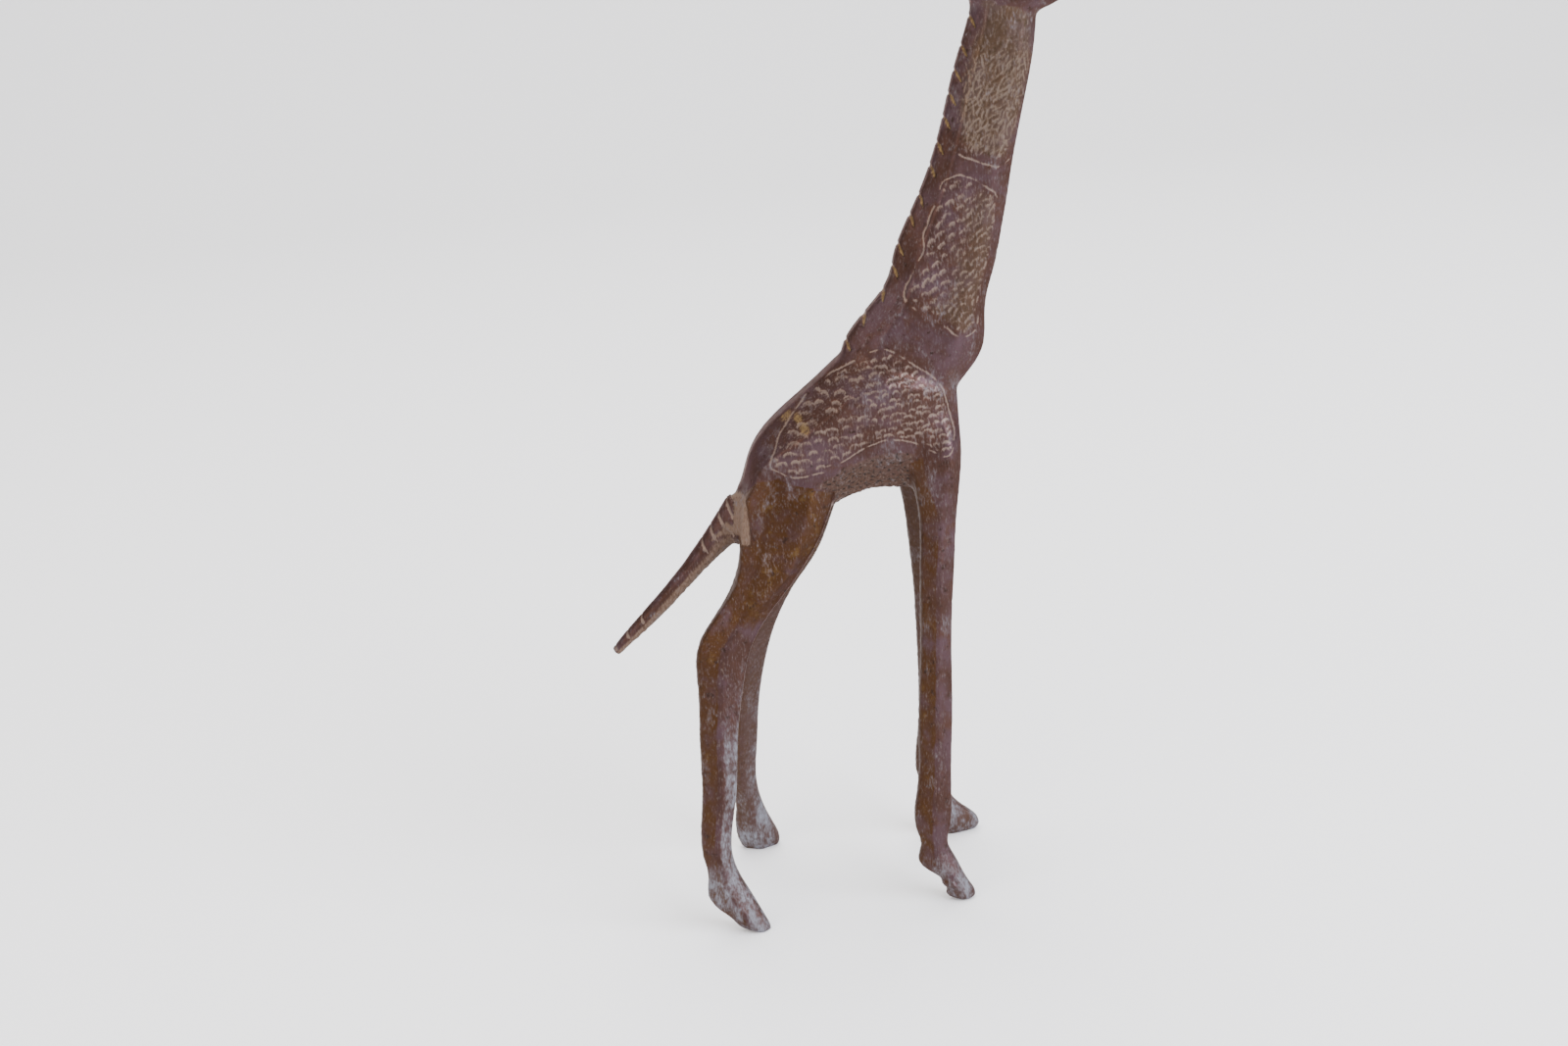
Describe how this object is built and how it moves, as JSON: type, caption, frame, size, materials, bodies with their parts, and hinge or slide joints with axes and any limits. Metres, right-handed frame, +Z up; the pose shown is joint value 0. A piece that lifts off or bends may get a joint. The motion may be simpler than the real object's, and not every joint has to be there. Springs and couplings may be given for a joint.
{
  "type": "giraffe figurine",
  "caption": "Small standing giraffe figurine in cast, chased bronze: slim splayed legs in a pacing step, long upright neck with a notched mane, straight tail.",
  "frame": {"origin": "on the table, under the middle of the figure's bounding box", "axes": "+X the way the giraffe faces, +Y its left side, +Z up"},
  "size_m": [0.1165, 0.0435, 0.199],
  "materials": {
    "bronze": "dark brown patina on cast and filed bronze, with pale chased strokes and grey-green bloom on the lower legs"
  },
  "bodies": {
    "root": {"torso": "bronze", "neck": "bronze", "head": "bronze", "tail": "bronze", "front_leg_left": "bronze", "front_leg_right": "bronze", "hind_leg_left": "bronze", "hind_leg_right": "bronze", "horn_left": "bronze", "horn_right": "bronze", "ear_left": "bronze", "ear_right": "bronze"}
  },
  "joints": []
}
